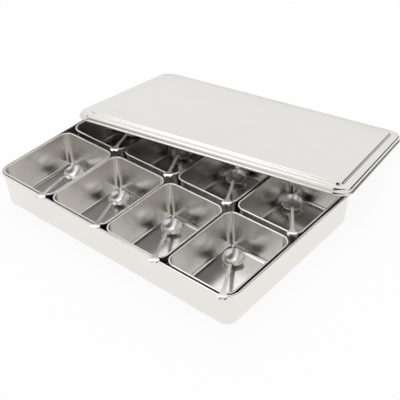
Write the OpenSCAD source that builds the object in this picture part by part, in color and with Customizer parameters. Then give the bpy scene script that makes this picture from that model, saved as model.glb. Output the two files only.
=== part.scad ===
// Condiment tray in stainless steel: one deep tray, eight lift-out pans in two rows,
// a spoon leaning in each pan, and one loose lid that leans on the back of the tray.
// Origin: middle of the tray's underside. +X: along the tray, +Y: to its back, +Z: up.

/* [Tray] */
// Length of the tray over its rolled rim
tray_l = 408; // [390:1:430]
// Width of the tray over its rolled rim
tray_w = 267; // [255:1:285]
// Height of the tray, from its underside to the top of its rim
tray_h = 54; // [50:1:60]
// Thickness of the tray's sheet
tray_sheet = 1; // [0.8:0.1:1.2]
// Diameter of the tray's rolled rim
tray_bead = 3.2; // [2.8:0.2:4]
// Corner radius of the tray, over the rim
tray_corner = 21; // [19:1:26]
// Outer radius where the tray's walls turn into its floor
tray_fold = 7; // [6:0.5:8]
// Lean of all the pressed walls from upright, in degrees
wall_lean = 4; // [3:0.5:5]

/* [Pans] */
// Thickness of the pans' sheet
pan_sheet = 0.8; // [0.6:0.1:1]
// Diameter of the pans' rolled rims
pan_bead = 2.4; // [2:0.2:3]
// Corner radius of the pans, over the rim
pan_corner = 14; // [13:1:18]
// How much larger a pan's foot radius is than the inside of the tray's
pan_foot_relief = 0.5; // [0.3:0.1:1.5]
// Gap between two pans side by side
pan_gap = 2; // [1.6:0.1:4]
// Gap between the front row and the back row
row_gap = 8.4; // [7.6:0.2:13]
// Gap between the end pans and the tray's end walls
end_gap = 1.8; // [1.5:0.1:5]
// Gap between each row and the tray's long wall
side_gap = 1.1; // [0.9:0.1:3]
// How far the pans' rims stand above the tray's rim
pan_proud = 0.2; // [0:0.1:1]
// Air left under each pan
pan_seat = 0.2; // [0.1:0.05:0.4]

/* [Spoons] */
// Radius of the bowl at its lip
bowl_r = 14.3; // [12.5:0.1:15]
// Depth of the bowl
bowl_depth = 7; // [5:0.5:8]
// Thickness of the bowl
bowl_sheet = 1; // [0.8:0.1:1.2]
// How far the bowl's mouth turns up towards the handle, in degrees
bowl_set = 31; // [26:1:36]
// Thickness of the handle
handle_sheet = 1.3; // [1:0.1:1.8]
// Width of the handle along its slim part
handle_w = 4.2; // [3.6:0.1:5]
// Width of the handle where it leaves the bowl
root_w = 7.5; // [6:0.5:11]
// Width of the flared tail
tail_w = 13; // [10:0.5:14]
// Length of the tail beyond the pan's rim
tail_l = 13; // [9:0.5:14]
// Depth of the notch between the tail's two lobes
tail_notch = 1.2; // [0.4:0.2:3]
// How far the tail's tip curls down
tail_curl = 4; // [0:0.5:5]
// Height of the straight handle above the near lip
neck_rise = 14; // [11:0.5:16]
// Length of the curved neck
neck_run = 29; // [26:1:32]
// Floor left clear behind the bowl
bowl_back_gap = 4.5; // [3.5:0.5:8]
// Floor left clear beside the bowl
bowl_side_gap = 3.9; // [1.5:0.1:6]
// Air left under the bowl
bowl_seat = 0.3; // [0.2:0.05:0.5]
// Where the handle crosses the rim, measured from the pan's right side
rest_inset = 8.4; // [6:0.1:10]
// Air between the rim and the middle of the handle, whose edge lies lower
rest_gap = 1.1; // [1:0.05:1.5]

/* [Lid] */
// Play between the tray's rim and the lid's rolled edge, all round
lid_play = 0.5; // [0.3:0.1:1.5]
// Thickness of the lid's sheet
lid_sheet = 0.8; // [0.6:0.1:1]
// Diameter of the lid's rolled edge
lid_bead = 3; // [2.6:0.2:3.6]
// Height of the lid's border above its rolled edge's underside
lid_h = 8.5; // [7.5:0.1:12]
// Radius along the top edge of the lid
lid_fold = 3; // [1.8:0.2:4]
// Lean of the lid's skirt from upright, in degrees
skirt_lean = 3; // [1:0.5:5]
// Width of the flat border between the top edge and the raised panel
lid_border = 9.5; // [8:0.5:12]
// How far the panel stands above the border
panel_rise = 2.2; // [1.6:0.1:2.6]
// Turn of the leaning lid about the upright, in degrees
lid_turn = 12.15; // [11:0.05:15]
// Fall of the lid along its length towards its far right corner, in degrees
lid_fall = 1.45; // [1:0.05:2]
// Distance of the lid's far right corner to the right of the tray's middle
lid_foot_x = 136; // [125:0.5:145]
// Distance of the lid's far right corner behind the tray
lid_foot_y = 207.5; // [195:1:215]
// Air under the corner of the lid that stands on the table
lid_foot_gap = 0.3; // [0.2:0.1:1]
// Air between the lid and the tray's rim that carries it
lid_seat = 0.45; // [0.2:0.05:0.6]

/* [Hidden] */
COLUMNS = 4;
$fn = 96;
ROWS = ["front", "back"];

// Inside of the tray at its rim, and the pans that share it out
inner_l = tray_l - 2 * tray_bead;
inner_w = tray_w - 2 * tray_bead;
pan_w = (inner_l - 2 * end_gap - (COLUMNS - 1) * pan_gap) / COLUMNS;
pan_l = (inner_w - 2 * side_gap - row_gap) / 2;
pan_foot = tray_sheet + pan_seat;
pan_h = tray_h + pan_proud - pan_foot;
pan_fold = tray_fold - tray_sheet + pan_foot_relief;
pan_floor = pan_foot + pan_sheet;

// The pans stand a little out of line, as they are dropped in: [x, y] of each, by row
PAN_NUDGE = [
    [[-0.2, 0.2], [-1.1, 0.3], [-1.4, -0.8], [-0.6, 1]],
    [[0.1, 0.1], [-0.5, 0.8], [-1.2, 0.7], [-0.4, 0.6]]
];
function pan_place(i, row) = [
    (i - (COLUMNS - 1) / 2) * (pan_w + pan_gap) + PAN_NUDGE[row][i][0],
    (row - 0.5) * (pan_l + row_gap) + PAN_NUDGE[row][i][1]
];

// Width lost on each side of a pan between its rim and its flat floor
foot_inset = pan_bead - pan_sheet + (pan_h - pan_fold) * tan(wall_lean) + pan_fold;

// The bowl is a cap of a ball; its middle lies at the back left of the pan's floor
ball_r = (bowl_r * bowl_r + bowl_depth * bowl_depth) / (2 * bowl_depth);
bowl_half = asin(bowl_r / ball_r);
bowl_x = -(pan_w / 2 - foot_inset - bowl_r - bowl_side_gap);
bowl_y = pan_l / 2 - foot_inset - bowl_r - bowl_back_gap;
rest_x = pan_w / 2 - rest_inset;
rest_y = -(pan_l - pan_bead) / 2;
reach = norm([rest_x - bowl_x, rest_y - bowl_y]);
spoon_turn = atan2(rest_y - bowl_y, rest_x - bowl_x);
// Each spoon swings a little about the point where it crosses the rim, in degrees, and
// lies a little further out: [swing, slide] of each, by row
SPOON_NUDGE = [
    [[-3, 2], [0, 2], [0.5, 2], [0, 2]],
    [[0, -3.5], [1, -2], [0, -2], [1.5, -4.5]]
];

// Middle line of the handle, with the ball's middle as origin and the handle along X
lip_a = -90 - bowl_set + bowl_half;
lip = (ball_r - bowl_sheet / 2) * [cos(lip_a), sin(lip_a)];
stem_z = lip[1] + neck_rise;
stem_x = lip[0] + neck_run;
// Slope of the handle that lays the bowl on the floor and the handle over the rim
ball_z = pan_floor + bowl_seat + ball_r;
rest_rise = tray_h + pan_proud + rest_gap - ball_z;
stem_under = stem_z - handle_sheet / 2;
function rest_d(slide) = norm([reach - slide, rest_rise]);
function spoon_slope(slide) =
    atan2(rest_rise, reach - slide) - asin(stem_under / rest_d(slide));
cross_x = sqrt(pow(rest_d(0), 2) - stem_under * stem_under);
spoon_end = cross_x + tail_l;
root_a = 5;
neck_hold = 8;
neck_ease = 10;
curl_x = spoon_end - 0.7 * tail_l;
lobe_r = tail_w / 4;
STEPS = 14;

function curve(a, b, c, d, u) =
    pow(1 - u, 3) * a + 3 * pow(1 - u, 2) * u * b + 3 * (1 - u) * u * u * c + pow(u, 3) * d;
function neck(u) = curve(
    lip,
    lip + neck_hold * [-sin(lip_a), cos(lip_a)],
    [stem_x - neck_ease, stem_z],
    [stem_x, stem_z],
    u
);
function curl(u) = [
    curl_x + u * (spoon_end - curl_x),
    stem_z - tail_curl * u * u
];
HANDLE_LINE = concat(
    [(ball_r - bowl_sheet / 2) * [cos(lip_a - root_a), sin(lip_a - root_a)]],
    [for (k = [0:STEPS]) neck(k / STEPS)],
    [for (k = [0:STEPS / 2]) curl(2 * k / STEPS)]
);
// Direction of the middle line at its k-th point, and the two faces beside it
function along(line, k) =
    let (d = line[min(k + 1, len(line) - 1)] - line[max(k - 1, 0)]) d / norm(d);
function beside(line, k, off) =
    line[k] + off * [-along(line, k)[1], along(line, k)[0]];
// Half width of the handle: wide root, slim stem, flared tail
flare_x = cross_x - 14;
function half_width(x) =
    handle_w / 2
    + (root_w - handle_w) / 2 * pow(max(0, 1 - (x - lip[0]) / neck_run), 2)
    + (tail_w - handle_w) / 2 * pow(max(0, (x - flare_x) / (spoon_end - lobe_r - flare_x)), 2);

// Lid, drawn upside up with its rolled edge on z = 0
lid_l = tray_l + 2 * (lid_bead + lid_play);
lid_w = tray_w + 2 * (lid_bead + lid_play);
lid_corner = tray_corner + lid_bead + lid_play;
lid_top = lid_h + panel_rise;
step_a = 60;
step_lead = 0.5;
// The corner that stands on the table, and the rim that carries the lid, as bead middles
foot_local = [lid_l / 2 - lid_corner, (lid_w - lid_bead) / 2, lid_bead / 2];
foot_place = [lid_foot_x, tray_w / 2 + lid_foot_y, lid_foot_gap + lid_bead / 2];
carry = [-tray_l / 2 + tray_corner, (tray_w - tray_bead) / 2, tray_h - tray_bead / 2];
// The carrying rim seen from the foot, turned and dropped with the lid
span = carry - foot_place;
span_x = span[0] * cos(lid_turn) + span[1] * sin(lid_turn);
span_y = -span[0] * sin(lid_turn) + span[1] * cos(lid_turn);
span_z = span[2] * cos(lid_fall) + span_x * sin(lid_fall);
// Lean about the lid's long side that lays its panel on the rim
carry_depth = lid_top - lid_sheet - lid_bead / 2 - tray_bead / 2 - lid_seat;
lid_lean = atan2(span_z, -span_y) - asin(carry_depth / norm([span_y, span_z]));

TRAY_GREY = [0.86, 0.85, 0.83];
PAN_GREY = [0.66, 0.65, 0.63];
SPOON_GREY = [0.8, 0.8, 0.8];

// Slice of a round sheet bend: middle radius r, from angle a to angle b (under 180 apart)
module bend(r, sheet, a, b) {
    far = 2 * r;
    intersection() {
        difference() {
            circle(r + sheet / 2);
            circle(r - sheet / 2);
        }
        rotate(a)
            translate([-far, 0])
                square([2 * far, far]);
        rotate(b)
            translate([-far, -far])
                square([2 * far, far]);
    }
}

// Half section of a pressed wall: x runs out from the corner's middle to r at the rim,
// y up from the underside. Floor, round fold, leaning wall and rolled rim in one sheet.
module wall_section(r, h, sheet, bead, fold, lean, flat_from) {
    top = h - bead / 2;
    wall_x = r - bead + sheet;
    fold_x = wall_x - (fold + (top - fold) * sin(lean)) / cos(lean);
    rise = (wall_x - fold_x) * sin(lean) + (top - fold) * cos(lean);
    polygon([[flat_from, 0], [fold_x, 0], [fold_x, sheet], [flat_from, sheet]]);
    translate([fold_x, fold]) {
        bend(fold - sheet / 2, sheet, -90, -lean);
        rotate(-lean)
            translate([fold - sheet, 0])
                square([sheet, rise]);
    }
    translate([r - bead / 2, top])
        circle(bead / 2);
}

// Sweeps a half section, whose x is measured from the corner's middle, round a rectangle
module sweep_round(l, w, r) {
    cx = l / 2 - r;
    cy = w / 2 - r;
    for (sx = [0, 1], sy = [0, 1])
        mirror([sx, 0, 0])
            mirror([0, sy, 0])
                translate([cx, cy, 0])
                    rotate_extrude(angle = 90)
                        children();
    for (sy = [0, 1])
        mirror([0, sy, 0])
            translate([-cx, cy, 0])
                rotate([90, 0, 90])
                    linear_extrude(2 * cx)
                        children();
    for (sx = [0, 1])
        mirror([sx, 0, 0])
            translate([cx, cy, 0])
                rotate([90, 0, 0])
                    linear_extrude(2 * cy)
                        children();
}

// Flat middle of a pressed piece, between the middles of its corners
module middle_plate(l, w, r, sheet) {
    translate([r - l / 2, r - w / 2, 0])
        cube([l - 2 * r, w - 2 * r, sheet]);
}

module tray() {
    color(TRAY_GREY) {
        sweep_round(tray_l, tray_w, tray_corner)
            wall_section(tray_corner, tray_h, tray_sheet, tray_bead, tray_fold, wall_lean, 0);
        middle_plate(tray_l, tray_w, tray_corner, tray_sheet);
    }
}

module pan(i, row) {
    at = pan_place(i, row);
    color(PAN_GREY)
        translate([at[0], at[1], pan_foot]) {
            sweep_round(pan_w, pan_l, pan_corner)
                wall_section(pan_corner, pan_h, pan_sheet, pan_bead, pan_fold, wall_lean, 0);
            middle_plate(pan_w, pan_l, pan_corner, pan_sheet);
        }
}

// Shell of the bowl: a cap of the ball, its mouth turned up towards the handle
module bowl() {
    mouth = ball_r * cos(bowl_half);
    rotate([0, bowl_set, 0])
        difference() {
            sphere(ball_r);
            sphere(ball_r - bowl_sheet);
            translate([-2 * ball_r, -2 * ball_r, -mouth])
                cube(4 * ball_r);
        }
}

// Side view of the handle, along X
module handle_side() {
    last = len(HANDLE_LINE) - 1;
    half = handle_sheet / 2;
    polygon(concat(
        [for (k = [0:last]) beside(HANDLE_LINE, k, half)],
        [for (k = [last:-1:0]) beside(HANDLE_LINE, k, -half)]
    ));
}

// Top view of the handle, its flared tail ending in two round lobes
module handle_plan() {
    lobe_x = spoon_end - lobe_r;
    xs = [for (k = [0:2 * STEPS]) lip[0] - bowl_sheet + k * (lobe_x - lip[0] + bowl_sheet) / (2 * STEPS)];
    polygon(concat(
        [for (x = xs) [x, half_width(max(x, lip[0]))]],
        [for (k = [len(xs) - 1:-1:0]) [xs[k], -half_width(max(xs[k], lip[0]))]]
    ));
    for (side = [-1, 1])
        translate([lobe_x, side * (tail_w / 2 - lobe_r)])
            circle(lobe_r);
    translate([lobe_x, -lobe_r])
        square([lobe_r - tail_notch, 2 * lobe_r]);
}

module spoon_shape() {
    bowl();
    intersection() {
        rotate([90, 0, 0])
            linear_extrude(2 * tail_w, center = true)
                handle_side();
        translate([0, 0, -2 * ball_r])
            linear_extrude(4 * ball_r)
                handle_plan();
    }
}

module spoon(i, row) {
    at = pan_place(i, row);
    color(SPOON_GREY)
        translate([at[0] + rest_x, at[1] + rest_y, ball_z])
            rotate([0, 0, spoon_turn + SPOON_NUDGE[row][i][0]])
                translate([SPOON_NUDGE[row][i][1] - reach, 0, 0])
                    rotate([0, -spoon_slope(SPOON_NUDGE[row][i][1]), 0])
                        spoon_shape();
}

// Middle line of the step between border and panel: two equal bends, with a short
// straight lead at both ends. x is measured as in the wall's section, y up from the border.
function half_step(a) = panel_rise * [sin(a), 1 - cos(a)];
function step_line(step_x, run) = concat(
    [[step_x + lid_border / 2, 0], [step_x + step_lead, 0]],
    [for (a = [0:step_a / 3:step_a]) [step_x - half_step(a)[0], half_step(a)[1]]],
    [for (a = [2 * step_a / 3:-step_a / 3:0]) [step_x - run + half_step(a)[0], panel_rise - half_step(a)[1]]],
    [[step_x - run - step_lead, panel_rise], [0, panel_rise]]
);

// Half section of the lid, y up from its rolled edge: skirt, border, step and panel
module lid_section() {
    edge_x = lid_corner - lid_bead + lid_sheet;
    fold_drop = lid_h - lid_bead / 2 - lid_fold;
    fold_x = edge_x - (lid_fold + fold_drop * sin(skirt_lean)) / cos(skirt_lean);
    step_x = fold_x - lid_border;
    line = step_line(step_x, 2 * half_step(step_a)[0]);
    last = len(line) - 1;
    half = lid_sheet / 2;
    translate([0, lid_h])
        mirror([0, 1])
            wall_section(lid_corner, lid_h, lid_sheet, lid_bead, lid_fold, skirt_lean, step_x + 2 * step_lead);
    translate([0, lid_h - half])
        polygon(concat(
            [for (k = [0:last]) beside(line, k, half)],
            [for (k = [last:-1:0]) beside(line, k, -half)]
        ));
}

module lid() {
    color(TRAY_GREY)
        translate(foot_place)
            rotate([0, 0, lid_turn])
                rotate([0, lid_fall, 0])
                    rotate([-lid_lean, 0, 0])
                        translate(-foot_local) {
                            sweep_round(lid_l, lid_w, lid_corner)
                                lid_section();
                            translate([0, 0, lid_top - lid_sheet])
                                middle_plate(lid_l, lid_w, lid_corner, lid_sheet);
                        }
}

tray();
lid();
for (row = [0, 1], i = [0:COLUMNS - 1]) {
    pan(i, row);
    spoon(i, row);
}
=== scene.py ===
from math import asin, atan2, cos, hypot, pi, radians, sin, sqrt, tan

import bmesh
import bpy
from mathutils import Matrix, Vector


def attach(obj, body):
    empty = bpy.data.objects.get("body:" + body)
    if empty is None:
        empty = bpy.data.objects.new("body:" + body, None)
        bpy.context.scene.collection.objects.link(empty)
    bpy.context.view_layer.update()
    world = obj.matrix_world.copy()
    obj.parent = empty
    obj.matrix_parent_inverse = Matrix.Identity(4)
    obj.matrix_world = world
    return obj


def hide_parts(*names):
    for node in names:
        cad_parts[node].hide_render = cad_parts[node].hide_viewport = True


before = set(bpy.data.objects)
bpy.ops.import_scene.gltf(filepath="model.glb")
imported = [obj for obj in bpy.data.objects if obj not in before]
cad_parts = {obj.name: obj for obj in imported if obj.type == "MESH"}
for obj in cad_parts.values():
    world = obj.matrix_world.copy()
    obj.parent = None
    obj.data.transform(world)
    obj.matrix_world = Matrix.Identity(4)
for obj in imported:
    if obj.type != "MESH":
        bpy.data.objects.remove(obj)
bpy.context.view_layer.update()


# ---------------------------------------------------------------- tray
# One deep rectangular tray that holds everything. It is pressed from a single sheet of
# stainless steel, with leaning walls, round folds and a rim rolled over outwards.

MM = 0.001  # Sections are drawn in millimetres, and the pieces are in metres
MERGE = 0.001  # Points closer than this, in millimetres, are one
FLAT = 2  # How much of a flat floor or panel is drawn with a section
TRAY = {
    "length": 408, "width": 267, "height": 54, "sheet": 1, "bead": 3.2,
    "corner": 21, "fold": 7, "lean": radians(4), "fold_steps": 12, "corner_steps": 24,
}


def verts_of(made):
    """The vertices among what an operator made."""
    return [g for g in made if isinstance(g, bmesh.types.BMVert)]


def edges_of(made):
    """The edges among what an operator made."""
    return [g for g in made if isinstance(g, bmesh.types.BMEdge)]


def extrude_row(bm, row):
    """Extrudes a row of edges, and returns the new row's vertices and edges."""
    made = bmesh.ops.extrude_edge_only(bm, edges=row)["geom"]
    ends = verts_of(made)
    inside = set(ends)
    return ends, [e for e in edges_of(made) if inside.issuperset(e.verts)]


def draw_to(bm, pen, place):
    """Draws a straight line from the pen's vertex to a place, and returns the new end."""
    new = bmesh.ops.extrude_vert_indiv(bm, verts=[pen])["verts"][0]
    new.co = place
    return new


def draw_bend(bm, pen, middle, angle, steps):
    """Draws a round bend about a middle, from +X towards +Z where the angle is positive."""
    made = bmesh.ops.spin(
        bm, geom=[pen], cent=middle, axis=(0, -1, 0), angle=angle, steps=steps,
        use_merge=False, use_duplicate=False,
    )
    return verts_of(made["geom_last"])[0]


def meet_curl(start, way, ring, curl):
    """Where a straight line first meets the rolled rim's circle."""
    off = start - ring
    along = off.dot(way)
    return start - way * (along + sqrt(along * along - off.dot(off) + curl * curl))


def draw_wall(bm, size):
    """Draws a pressed wall's section, x out from the corner's middle: floor, fold, wall, rim."""
    lean, fold, sheet, steps = size["lean"], size["fold"], size["sheet"], size["fold_steps"]
    curl = size["bead"] / 2
    top = size["height"] - curl
    way = Vector((sin(lean), 0, cos(lean)))
    out = Vector((cos(lean), 0, -sin(lean)))
    wall_x = size["corner"] - size["bead"] + sheet
    fold_x = wall_x - (fold + (top - fold) * sin(lean)) / cos(lean)
    middle = Vector((fold_x, 0, fold))
    ring = Vector((size["corner"] - curl, 0, top))
    touch = meet_curl(middle + out * fold, way, ring, curl)
    rolled = pi - atan2(touch.z - ring.z, touch.x - ring.x)
    pen = bm.verts.new((fold_x - FLAT, 0, 0))
    pen = draw_to(bm, pen, (fold_x, 0, 0))
    pen = draw_bend(bm, pen, middle, pi / 2 - lean, steps)
    pen = draw_to(bm, pen, touch)
    pen = draw_bend(bm, pen, ring, rolled, 2 * steps)
    pen = draw_to(bm, pen, middle + out * (fold - sheet))
    pen = draw_bend(bm, pen, middle, lean - pi / 2, steps)
    draw_to(bm, pen, (fold_x - FLAT, 0, sheet))


def sweep_round(bm, size):
    """Sweeps the drawn section round a rectangle with round corners, then closes its flats."""
    half_x = size["length"] / 2 - size["corner"]
    half_y = size["width"] / 2 - size["corner"]
    bmesh.ops.translate(bm, verts=bm.verts, vec=(half_x, half_y, 0))
    row = list(bm.edges)
    for sx, sy in ((1, 1), (-1, 1), (-1, -1), (1, -1)):
        made = bmesh.ops.spin(
            bm, geom=row, cent=(sx * half_x, sy * half_y, 0), axis=(0, 0, 1), angle=pi / 2,
            steps=size["corner_steps"], use_merge=False, use_duplicate=False,
        )
        ends, row = extrude_row(bm, edges_of(made["geom_last"]))
        way = (-2 * half_x * sx, 0, 0) if sx == sy else (0, -2 * half_y * sy, 0)
        bmesh.ops.translate(bm, verts=ends, vec=way)
    bmesh.ops.remove_doubles(bm, verts=bm.verts, dist=MERGE)
    bmesh.ops.holes_fill(bm, edges=[e for e in bm.edges if e.is_boundary], sides=0)


def start_finish(name):
    """Starts a material, and returns it with its shader."""
    finish = bpy.data.materials.new(name)
    finish.use_nodes = True
    return finish, finish.node_tree.nodes["Principled BSDF"]


def fill(node, sockets):
    """Gives each of a node's sockets its value, or a link from another node's socket."""
    for name, value in sockets.items():
        if isinstance(value, bpy.types.NodeSocket):
            node.id_data.links.new(value, node.inputs[name])
        else:
            node.inputs[name].default_value = value


def add_node(owner, kind, sockets, **settings):
    """Adds a node to a material or world, with its settings and its filled sockets."""
    node = owner.node_tree.nodes.new("ShaderNode" + kind)
    for name, value in settings.items():
        setattr(node, name, value)
    fill(node, sockets)
    return node


def sheet_steel(name, bright, dull, rough, grain, turn=0, low_rough=None, low=(0.0022, 0.009)):
    """Stainless sheet with a fine grain along X, whose pattern turn shifts, and faint smears.
    Where low_rough is given, it holds below the first height of low, and rough above the second."""
    steel, face = start_finish(name)
    brushing = (25, 1600, 1600)
    uneven = 0.015
    place = add_node(steel, "TexCoord", {}).outputs["Object"]
    brush = add_node(steel, "Mapping", {
        "Vector": place, "Rotation": (0, 0, turn), "Scale": brushing,
    })
    lines = add_node(steel, "TexNoise", {
        "Vector": brush.outputs["Vector"], "Scale": 1, "Detail": 3,
    }).outputs["Fac"]
    smears = add_node(steel, "TexNoise", {
        "Vector": place, "Scale": 22, "Detail": 4, "Roughness": 0.6,
    }).outputs["Fac"]
    tone = add_node(steel, "Mix", {
        "Factor": smears, "A": (*bright, 1), "B": (*dull, 1),
    }, data_type="RGBA")
    spread = add_node(steel, "MapRange", {
        "Value": smears, "From Min": 0.3, "From Max": 0.7,
        "To Min": rough - uneven - grain / 2, "To Max": rough + uneven - grain / 2,
    })
    satin = add_node(steel, "Math", {
        0: lines, 1: grain, 2: spread.outputs["Result"],
    }, operation="MULTIPLY_ADD").outputs["Value"]
    if low_rough is not None:
        axes = add_node(steel, "SeparateXYZ", {"Vector": place})
        satin = add_node(steel, "MapRange", {
            "Value": axes.outputs["Z"], "From Min": low[0], "From Max": low[1],
            "To Min": low_rough, "To Max": satin,
        }, interpolation_type="SMOOTHSTEP").outputs["Result"]
    bump = add_node(steel, "Bump", {"Strength": 0.03, "Distance": 0.00002, "Height": lines})
    fill(face, {
        "Metallic": 1, "Base Color": tone.outputs["Result"], "Roughness": satin,
        "Normal": bump.outputs["Normal"],
    })
    return steel


def set_down(bm, name, finish):
    """Makes a bmesh an object of one material, and puts it in the scene."""
    mesh = bpy.data.meshes.new(name)
    bm.to_mesh(mesh)
    bm.free()
    mesh.materials.append(finish)
    thing = bpy.data.objects.new(name, mesh)
    bpy.context.scene.collection.objects.link(thing)
    return thing


def finish_piece(bm, name, place, steel, node):
    """Turns a bmesh drawn in millimetres into a piece in place of its CAD node."""
    bmesh.ops.recalc_face_normals(bm, faces=bm.faces)
    bmesh.ops.transform(bm, matrix=place @ Matrix.Scale(MM, 4), verts=bm.verts)
    piece = set_down(bm, name, steel)
    piece.data.shade_smooth()
    piece.data.set_sharp_from_angle(angle=radians(40))
    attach(piece, node)
    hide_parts(node)
    return piece


def press_piece(draw, size, name, place, steel, node):
    """Presses a sheet by its drawn section, and keeps its flats flat beside the round folds."""
    bm = bmesh.new()
    draw(bm, size)
    sweep_round(bm, size)
    piece = finish_piece(bm, name, place, steel, node)
    flats = piece.modifiers.new("flats", "WEIGHTED_NORMAL")
    flats.keep_sharp = True
    flats.weight = 100
    return piece


tray_steel = sheet_steel(
    "tray_steel", bright=(0.865, 0.843, 0.805), dull=(0.845, 0.823, 0.785), rough=0.22, grain=0.04,
)
tray = press_piece(draw_wall, TRAY, "tray_pressing", Matrix(), tray_steel, "tray")


# ---------------------------------------------------------------- pans
# Eight lift-out pans in two rows of four. Each is pressed from thin bright stainless sheet
# with a rolled rim, and drops in loosely, so none stands quite in line with its neighbours.

PAN = {
    "length": 98, "width": 125, "height": 53, "sheet": 0.8, "bead": 2.4, "foot": 1.2,
    "corner": 14, "fold": 6.5, "lean": radians(4), "fold_steps": 10, "corner_steps": 18,
}
PAN_STEP = (100, 133.4)
# How far each pan stands out of line along X and Y
PAN_NUDGE = {
    "front": ((-0.2, 0.2), (-1.1, 0.3), (-1.4, -0.8), (-0.6, 1)),
    "back": ((0.1, 0.1), (-0.5, 0.8), (-1.2, 0.7), (-0.4, 0.6)),
}


def pan_place(row, i):
    """Middle of a pan's foot, in millimetres."""
    along, across = PAN_NUDGE[row][i]
    side = -0.5 if row == "front" else 0.5
    return Vector(((i - 1.5) * PAN_STEP[0] + along, side * PAN_STEP[1] + across, PAN["foot"]))


pan_steel = sheet_steel(
    "pan_steel", bright=(0.81, 0.793, 0.767), dull=(0.78, 0.763, 0.737), rough=0.25, grain=0.03,
    low_rough=0.17,
)
for row in ("front", "back"):
    for i in range(4):
        node = f"pan_{row}_{i + 1}"
        where = Matrix.Translation(pan_place(row, i) * MM)
        pan = press_piece(draw_wall, PAN, f"{node}_pressing", where, pan_steel, node)


# ---------------------------------------------------------------- spoons
# One small spoon lies in each pan, its bowl on the floor and its handle over the rim. It is
# stamped in one piece from polished stainless sheet; the slim handle flares to a forked tail.

# One spoon, and how it lies in its pan
SPOON = {
    "bowl_r": 14.3, "depth": 7, "bowl_sheet": 1, "set": radians(31), "sheet": 1.3,
    "root_w": 7.5, "root_sag": 0.5, "neck_hold": 8, "neck_ease": 10, "stem_w": 4.2,
    "rise": 14, "run": 29, "flare": 14, "curl": 3.2, "tail_w": 13, "tail_l": 13,
    "notch": 1.2, "pinch": 0.02,
    "back_gap": 4.5, "side_gap": 3.9, "seat": 0.3, "inset": 8.4, "rest_gap": 1.1,
}
# Steps of the bowl's arc and round it, and rows of the handle's parts
BOWL_STEPS, BOWL_SPOKES = 12, 96
SAG_ROWS, NECK_ROWS, STEM_ROWS, FLARE_ROWS, LOBE_ROWS = 8, 14, 5, 12, 4
# The handle is drawn out of the eight edges of the lip that lie within this angle
ROOT_HALF = radians(15.1)
FORK_MERGE = 0.02  # Points of the forked tail closer than this, in millimetres, are one
# How far each spoon swings about the rim, and lies further out or in
SPOON_NUDGE = {
    "front": ((radians(-3), 2), (0, 2), (radians(0.5), 2), (0, 2)),
    "back": ((0, -3.5), (radians(1), -2), (0, -2), (radians(1.5), -4.5)),
}

# The bowl is part of a ball, and the spoon is drawn about that ball's middle
ball_r = (SPOON["bowl_r"] ** 2 + SPOON["depth"] ** 2) / (2 * SPOON["depth"])
mid_r = ball_r - SPOON["bowl_sheet"] / 2
bowl_half = asin(SPOON["bowl_r"] / ball_r)
lip_a = -pi / 2 - SPOON["set"] + bowl_half
lip = Vector((cos(lip_a), 0, sin(lip_a))) * mid_r

# The bowl lies in the pan's back left corner, and the handle crosses the front rim on the right
foot_inset = (
    PAN["bead"] - PAN["sheet"]
    + (PAN["height"] - PAN["fold"]) * tan(PAN["lean"]) + PAN["fold"]
)
bowl_x = -(PAN["length"] / 2 - foot_inset - SPOON["bowl_r"] - SPOON["side_gap"])
bowl_y = PAN["width"] / 2 - foot_inset - SPOON["bowl_r"] - SPOON["back_gap"]
rest_x = PAN["length"] / 2 - SPOON["inset"]
rest_y = -(PAN["width"] - PAN["bead"]) / 2
reach = hypot(rest_x - bowl_x, rest_y - bowl_y)
spoon_turn = atan2(rest_y - bowl_y, rest_x - bowl_x)
ball_z = PAN["foot"] + PAN["sheet"] + SPOON["seat"] + ball_r
rest_rise = PAN["foot"] + PAN["height"] + SPOON["rest_gap"] - ball_z

# Along the handle: the neck's end, the crossing of the rim, the flare, the curl and the lobes
stem_z = lip.z + SPOON["rise"]
stem_x = lip.x + SPOON["run"]
stem_under = stem_z - SPOON["sheet"] / 2
cross_x = sqrt(reach ** 2 + rest_rise ** 2 - stem_under ** 2)
end_x = cross_x + SPOON["tail_l"]
lobe_r = SPOON["tail_w"] / 4
lobe_x = end_x - lobe_r
flare_x = cross_x - SPOON["flare"]
curl_x = end_x - SPOON["tail_l"] / 2


def spaced(start, end, count):
    """Evenly spaced values, without the start and with the end."""
    return [start + (end - start) * k / count for k in range(1, count + 1)]


def neck_curve(start, hold, ease, end, u):
    """Point of the neck's smooth curve between the bowl's lip and the straight stem."""
    v = 1 - u
    return v ** 3 * start + 3 * v ** 2 * u * hold + 3 * v * u * u * ease + u ** 3 * end


def handle_height(x):
    """Height of the handle's middle line along the straight stem and the curled tail."""
    return stem_z - SPOON["curl"] * max(0, (x - curl_x) / (end_x - curl_x)) ** 3


def handle_half(x):
    """Half the handle's width: wide root, slim stem, flared tail."""
    stem = SPOON["stem_w"]
    root = (SPOON["root_w"] - stem) / 2 * max(0, 1 - (x - lip.x) / SPOON["run"]) ** 2
    tail = (SPOON["tail_w"] - stem) / 2 * max(0, (x - flare_x) / (lobe_x - flare_x)) ** 2
    return stem / 2 + root + tail


def handle_line():
    """Middle line of the neck, the straight stem and the flare, as far as the lobes."""
    hold = lip + Vector((-sin(lip_a), 0, cos(lip_a))) * SPOON["neck_hold"]
    ease = Vector((stem_x - SPOON["neck_ease"], 0, stem_z))
    stem = Vector((stem_x, 0, stem_z))
    neck = [neck_curve(lip, hold, ease, stem, u) for u in spaced(0, 1, NECK_ROWS)]
    rest = spaced(stem_x, flare_x, STEM_ROWS) + spaced(flare_x, lobe_x, FLARE_ROWS)
    return neck + [Vector((x, 0, handle_height(x))) for x in rest]


def lobe_end(y):
    """How far the tail's two round lobes reach at a distance from the handle's middle."""
    round_part = sqrt(max(0, lobe_r ** 2 - (abs(y) - lobe_r) ** 2))
    return lobe_x + (max(round_part, lobe_r - SPOON["notch"]) if abs(y) < lobe_r else round_part)


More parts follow.
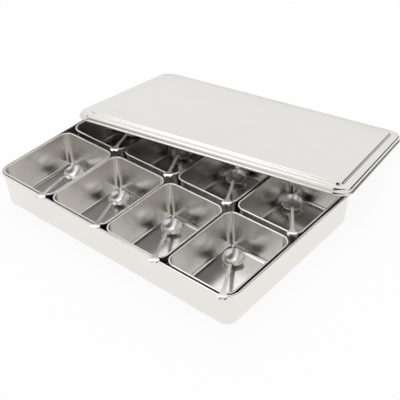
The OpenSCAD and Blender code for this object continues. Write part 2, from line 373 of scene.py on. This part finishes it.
def draw_handle(bm, row):
    """Draws the handle's row out, and returns its points, from -1 to 1 across, and its edges."""
    ends, row = extrude_row(bm, row)
    ends.sort(key=lambda v: v.co.y)
    return [(2 * k / (len(ends) - 1) - 1, vert) for k, vert in enumerate(ends)], row


def stamp_spoon(bm):
    """Bowl spun from an arc, and the handle drawn out of its lip row by row."""
    pen = bm.verts.new((0, 0, -mid_r))
    draw_bend(bm, pen, (0, 0, 0), bowl_half, BOWL_STEPS)
    bmesh.ops.spin(
        bm, geom=list(bm.edges), cent=(0, 0, 0), axis=(0, 0, 1), angle=2 * pi,
        steps=BOWL_SPOKES, use_merge=True, use_duplicate=False,
    )
    bmesh.ops.remove_doubles(bm, verts=bm.verts, dist=MERGE)
    bmesh.ops.recalc_face_normals(bm, faces=bm.faces)
    row = [
        e for e in bm.edges
        if e.is_boundary and all(abs(atan2(v.co.y, v.co.x)) < ROOT_HALF for v in e.verts)
    ]
    tip = Matrix.Rotation(SPOON["set"], 3, "Y")
    bmesh.ops.rotate(bm, verts=bm.verts, cent=(0, 0, 0), matrix=tip)
    for count, place in enumerate(handle_line()):
        points, row = draw_handle(bm, row)
        for across, vert in points:
            sag = SPOON["root_sag"] * across * across * max(0, 1 - count / SAG_ROWS)
            vert.co = place + Vector((-sag, across * handle_half(place.x), 0))
    for share in spaced(0, 1, LOBE_ROWS):
        points, row = draw_handle(bm, row)
        for across, vert in points:
            y = across * SPOON["tail_w"] / 2
            x = lobe_x + (lobe_end(y) - lobe_x) * share
            vert.co = Vector((x, y * (1 - SPOON["pinch"] * share), handle_height(x)))
    bmesh.ops.remove_doubles(bm, verts=bm.verts, dist=FORK_MERGE)


# The bowls have a softer finish below 12 mm than the handles have above 17 mm
spoon_steel = sheet_steel(
    "spoon_steel", bright=(0.86, 0.85, 0.83), dull=(0.84, 0.83, 0.81), rough=0.22, grain=0.02,
    turn=spoon_turn, low_rough=0.31, low=(0.012, 0.017),
)
for row in ("front", "back"):
    for i in range(4):
        swing, slide = SPOON_NUDGE[row][i]
        flat_reach = reach - slide
        slope = atan2(rest_rise, flat_reach) - asin(stem_under / hypot(flat_reach, rest_rise))
        at = pan_place(row, i)
        where = (
            Matrix.Translation(Vector((at.x + rest_x, at.y + rest_y, ball_z)) * MM)
            @ Matrix.Rotation(spoon_turn + swing, 4, "Z")
            @ Matrix.Translation(((slide - reach) * MM, 0, 0))
            @ Matrix.Rotation(-slope, 4, "Y")
        )
        node = f"spoon_{row}_{i + 1}"
        bm = bmesh.new()
        stamp_spoon(bm)
        spoon = finish_piece(bm, f"{node}_stamping", where, spoon_steel, node)
        gauge = spoon.modifiers.new("gauge", "SOLIDIFY")
        gauge.thickness = 0.00115
        gauge.offset = 0
        edge = spoon.modifiers.new("edge", "BEVEL")
        edge.width = 0.00035
        edge.segments = 2
        edge.limit_method = "ANGLE"
        edge.angle_limit = radians(50)


# ---------------------------------------------------------------- lid
# A shallow loose lid, pressed from one stainless sheet: rolled edge, short skirt, flat border
# and a raised panel. It leans, with its near part over the back pans and a corner on the table.

LID = {
    "length": 415, "width": 274, "height": 8.5, "sheet": 0.8, "bead": 3,
    "corner": 24.5, "fold": 3, "lean": radians(3), "fold_steps": 10, "corner_steps": 24,
    "border": 9.5, "rise": 2.2, "step": radians(60), "step_rows": 6,
}
# How it lies: its turn and its fall to the left, where its far right corner stands, and its
# clearances over the table and the tray's rim
LID_TURN, LID_FALL = radians(12.15), radians(1.45)
LID_FOOT, LID_FOOT_GAP, LID_SEAT = (136, 341), 0.3, 0.45


def draw_lid(bm, size):
    """Draws the lid's section, x out from the corner's middle, z up from the rolled edge."""
    sheet, fold, step, lean = size["sheet"], size["fold"], size["step"], size["lean"]
    curl, top, rise = size["bead"] / 2, size["height"], size["rise"]
    steps, rows = size["fold_steps"], size["step_rows"]
    edge_x = size["corner"] - size["bead"] + sheet
    fold_x = edge_x - (fold + (top - curl - fold) * sin(lean)) / cos(lean)
    border_x = fold_x - size["border"]
    panel_x = border_x - 2 * rise * sin(step)
    crest = Vector((panel_x, 0, top - sheet / 2))
    dip = Vector((border_x, 0, top + rise - sheet / 2))
    bend = Vector((fold_x, 0, top - fold))
    ring = Vector((size["corner"] - curl, 0, curl))
    down = Vector((sin(lean), 0, -cos(lean)))
    out = Vector((cos(lean), 0, sin(lean)))
    touch = meet_curl(bend + out * fold, down, ring, curl)
    rolled = -pi - atan2(touch.z - ring.z, touch.x - ring.x)
    pen = bm.verts.new((panel_x - FLAT, 0, top + rise))
    pen = draw_to(bm, pen, (panel_x, 0, top + rise))
    pen = draw_bend(bm, pen, crest, -step, rows)
    pen = draw_bend(bm, pen, dip, step, rows)
    pen = draw_to(bm, pen, (fold_x, 0, top))
    pen = draw_bend(bm, pen, bend, lean - pi / 2, steps)
    pen = draw_to(bm, pen, touch)
    pen = draw_bend(bm, pen, ring, rolled, 2 * steps)
    pen = draw_to(bm, pen, bend + out * (fold - sheet))
    pen = draw_bend(bm, pen, bend, pi / 2 - lean, steps)
    pen = draw_to(bm, pen, (border_x, 0, top - sheet))
    pen = draw_bend(bm, pen, dip, -step, rows)
    pen = draw_bend(bm, pen, crest, step, rows)
    draw_to(bm, pen, (panel_x - FLAT, 0, top + rise - sheet))


# The lid turns about its foot until its underside seats on the tray's back left rim
foot_local = Vector((
    LID["length"] / 2 - LID["corner"], (LID["width"] - LID["bead"]) / 2, LID["bead"] / 2,
))
foot_place = Vector((*LID_FOOT, LID_FOOT_GAP + LID["bead"] / 2))
carry = Vector((
    TRAY["corner"] - TRAY["length"] / 2, (TRAY["width"] - TRAY["bead"]) / 2,
    TRAY["height"] - TRAY["bead"] / 2,
))
untwist = Matrix.Rotation(-LID_FALL, 3, "Y") @ Matrix.Rotation(-LID_TURN, 3, "Z")
span = untwist @ (carry - foot_place)
depth = (
    LID["height"] + LID["rise"] - LID["sheet"] - LID["bead"] / 2 - TRAY["bead"] / 2 - LID_SEAT
)
lid_lean = atan2(span.z, -span.y) - asin(depth / hypot(span.y, span.z))
where = (
    Matrix.Translation(foot_place * MM)
    @ Matrix.Rotation(LID_TURN, 4, "Z")
    @ Matrix.Rotation(LID_FALL, 4, "Y")
    @ Matrix.Rotation(-lid_lean, 4, "X")
    @ Matrix.Translation(-foot_local * MM)
)
lid_steel = sheet_steel(
    "lid_steel", bright=(0.77, 0.75, 0.715), dull=(0.75, 0.73, 0.695), rough=0.1, grain=0.03,
    turn=-LID_TURN,
)
lid = press_piece(draw_lid, LID, "lid_pressing", where, lid_steel, "lid")


# ---------------------------------------------------------------- camera
# It stands to the front right of the tray and looks down on it, with a 75 mm lens on a full
# frame, and its horizon leans a little.

camera = bpy.data.objects.new("camera", bpy.data.cameras.new("camera"))
camera.data.sensor_width = 36
camera.data.lens = 75.14
camera_at = (0.6196, -0.6477, 0.7089)
around, above, roll = radians(41.393), radians(37.711), radians(-2.288)
back = Vector((sin(around) * cos(above), -cos(around) * cos(above), sin(above)))
level = Vector((cos(around), sin(around), 0))
upright = back.cross(level)
right = cos(roll) * level + sin(roll) * upright
up = cos(roll) * upright - sin(roll) * level
turned = Matrix((right, up, back)).transposed()
camera.matrix_world = Matrix.Translation(camera_at) @ turned.to_4x4()
bpy.context.scene.collection.objects.link(camera)
bpy.context.scene.camera = camera


# ---------------------------------------------------------------- table
# A plain pale table top, 8 metres square. It takes the shadows as matt white board does, and
# the camera and the steel see it almost white.


def highest(owner, values):
    """The highest of several sockets, as the socket of a chain of nodes."""
    most = values[0]
    for value in values[1:]:
        most = add_node(owner, "Math", {0: most, 1: value}, operation="MAXIMUM").outputs["Value"]
    return most


def seen_by(owner, rays):
    """1 for a ray of one of these kinds, and 0 for any other."""
    path = add_node(owner, "LightPath", {})
    return highest(owner, [path.outputs[f"Is {ray} Ray"] for ray in rays])


bm = bmesh.new()
bmesh.ops.create_grid(bm, x_segments=1, y_segments=1, size=4)
table_top, face = start_finish("table_top")
fill(face, {"Base Color": (0.93, 0.93, 0.93, 1), "Roughness": 0.9, "Specular IOR Level": 0})
whitening = add_node(table_top, "Math", {
    0: seen_by(table_top, ("Camera", "Glossy")), 1: 0.9,
}, operation="MULTIPLY")
white = add_node(table_top, "Emission", {"Color": (1, 1, 1, 1)})
mix = add_node(table_top, "MixShader", {
    "Fac": whitening.outputs["Value"], 1: face.outputs["BSDF"], 2: white.outputs["Emission"],
})
fill(table_top.node_tree.nodes["Material Output"], {"Surface": mix.outputs["Shader"]})
table = set_down(bm, "table", table_top)


# ---------------------------------------------------------------- room and light
# A plain white room, a little dimmer as a light than it looks. One soft box, 0.9 metres
# square, hangs at the back left and faces the tray's middle.

room = bpy.data.worlds.new("room")
bpy.context.scene.world = room
room.use_nodes = True
glow = add_node(room, "MapRange", {
    "Value": seen_by(room, ("Camera", "Glossy", "Transmission")), "To Min": 0.85, "To Max": 1,
})
fill(room.node_tree.nodes["Background"], {
    "Color": (1, 1, 1, 1), "Strength": glow.outputs["Result"],
})

lamp = bpy.data.lights.new("soft_box", "AREA")
lamp.shape = "RECTANGLE"
lamp.size, lamp.size_y = 0.9, 0.9
lamp.energy = 4.2
soft_box = bpy.data.objects.new("soft_box", lamp)
soft_box.location = (-0.45, 0.4, 1.49)
soft_box.rotation_euler = soft_box.location.to_track_quat("Z", "Y").to_euler()
bpy.context.scene.collection.objects.link(soft_box)


# ---------------------------------------------------------------- dark cards
# Cards of dark matt cloth round and over the table, like the open top and the low hem of a
# light tent. Only the steel sees them, in its reflections, and they cast no shadow.

CARDS_AWAY, HEM_AWAY = 1.6, 2
MATT = {"Roughness": 1, "Specular IOR Level": 0}
card_cloth, face = start_finish("card_cloth")
fill(face, {**MATT, "Base Color": (0.03, 0.03, 0.03, 1)})


def dark_card(bm, name, cloth=card_cloth):
    """A card that is only seen in the steel's reflections."""
    card = set_down(bm, name, cloth)
    card.visible_camera = card.visible_diffuse = card.visible_shadow = False


def flat_card(name, size, place, turn=0):
    """A rectangular card, flat overhead or turned about Y."""
    bm = bmesh.new()
    bmesh.ops.create_grid(bm, x_segments=1, y_segments=1, size=0.5)
    bmesh.ops.scale(bm, verts=bm.verts, vec=(*size, 1))
    tip = Matrix.Rotation(turn, 3, "Y")
    bmesh.ops.rotate(bm, verts=bm.verts, cent=(0, 0, 0), matrix=tip)
    bmesh.ops.translate(bm, verts=bm.verts, vec=place)
    dark_card(bm, name)


def round_card(name, way, spread):
    """A round card, square to its direction from the tray, and as wide as its spread."""
    way = Vector(way).normalized()
    bm = bmesh.new()
    radius = CARDS_AWAY * tan(spread)
    bmesh.ops.create_circle(bm, cap_ends=True, radius=radius, segments=48)
    tip = way.to_track_quat("Z", "Y").to_matrix()
    bmesh.ops.rotate(bm, verts=bm.verts, cent=(0, 0, 0), matrix=tip)
    bmesh.ops.translate(bm, verts=bm.verts, vec=way * CARDS_AWAY)
    dark_card(bm, name)


def hem_card(name, start, turn, height, cloth=card_cloth):
    """A low strip that stands round the table, over a part of a turn."""
    bm = bmesh.new()
    foot = bm.verts.new((HEM_AWAY * cos(start), HEM_AWAY * sin(start), 0))
    bmesh.ops.spin(
        bm, geom=[foot], cent=(0, 0, 0), axis=(0, 0, 1), angle=turn, steps=24,
        use_merge=False, use_duplicate=False,
    )
    top, _ = extrude_row(bm, list(bm.edges))
    bmesh.ops.translate(bm, verts=top, vec=(0, 0, height))
    dark_card(bm, name, cloth)


flat_card("card_over", (1.75, 1.58), (0.425, 0.71, CARDS_AWAY))
flat_card("card_front", (1.1, 1.12), (0.75, -0.64, CARDS_AWAY))
round_card("card_near", (0.45, -0.72, 0.53), radians(13))
flat_card("card_left", (0.45, 1.5), (-1, -0.55, 1.33), pi / 2)

# The hem is highest at the back, where its cloth fades to white at its top and ends
fading_cloth, face = start_finish("fading_cloth")
place = add_node(fading_cloth, "TexCoord", {}).outputs["Object"]
axes = add_node(fading_cloth, "SeparateXYZ", {"Vector": place})
fades = [
    add_node(fading_cloth, "MapRange", {
        "Value": axes.outputs[axis], "From Min": dark_at, "From Max": white_at, "To Min": 0.04,
    }, interpolation_type="SMOOTHSTEP").outputs["Result"]
    for axis, dark_at, white_at in (("X", -0.05, -0.35), ("X", 1.65, 1.77), ("Z", 0.7, 0.85))
]
fill(face, {**MATT, "Base Color": highest(fading_cloth, fades)})
hem_card("hem_back", radians(28), radians(72), 0.85, fading_cloth)
hem_card("hem_round", radians(100), radians(288), 0.11)

bpy.context.scene.view_settings.view_transform = "Standard"
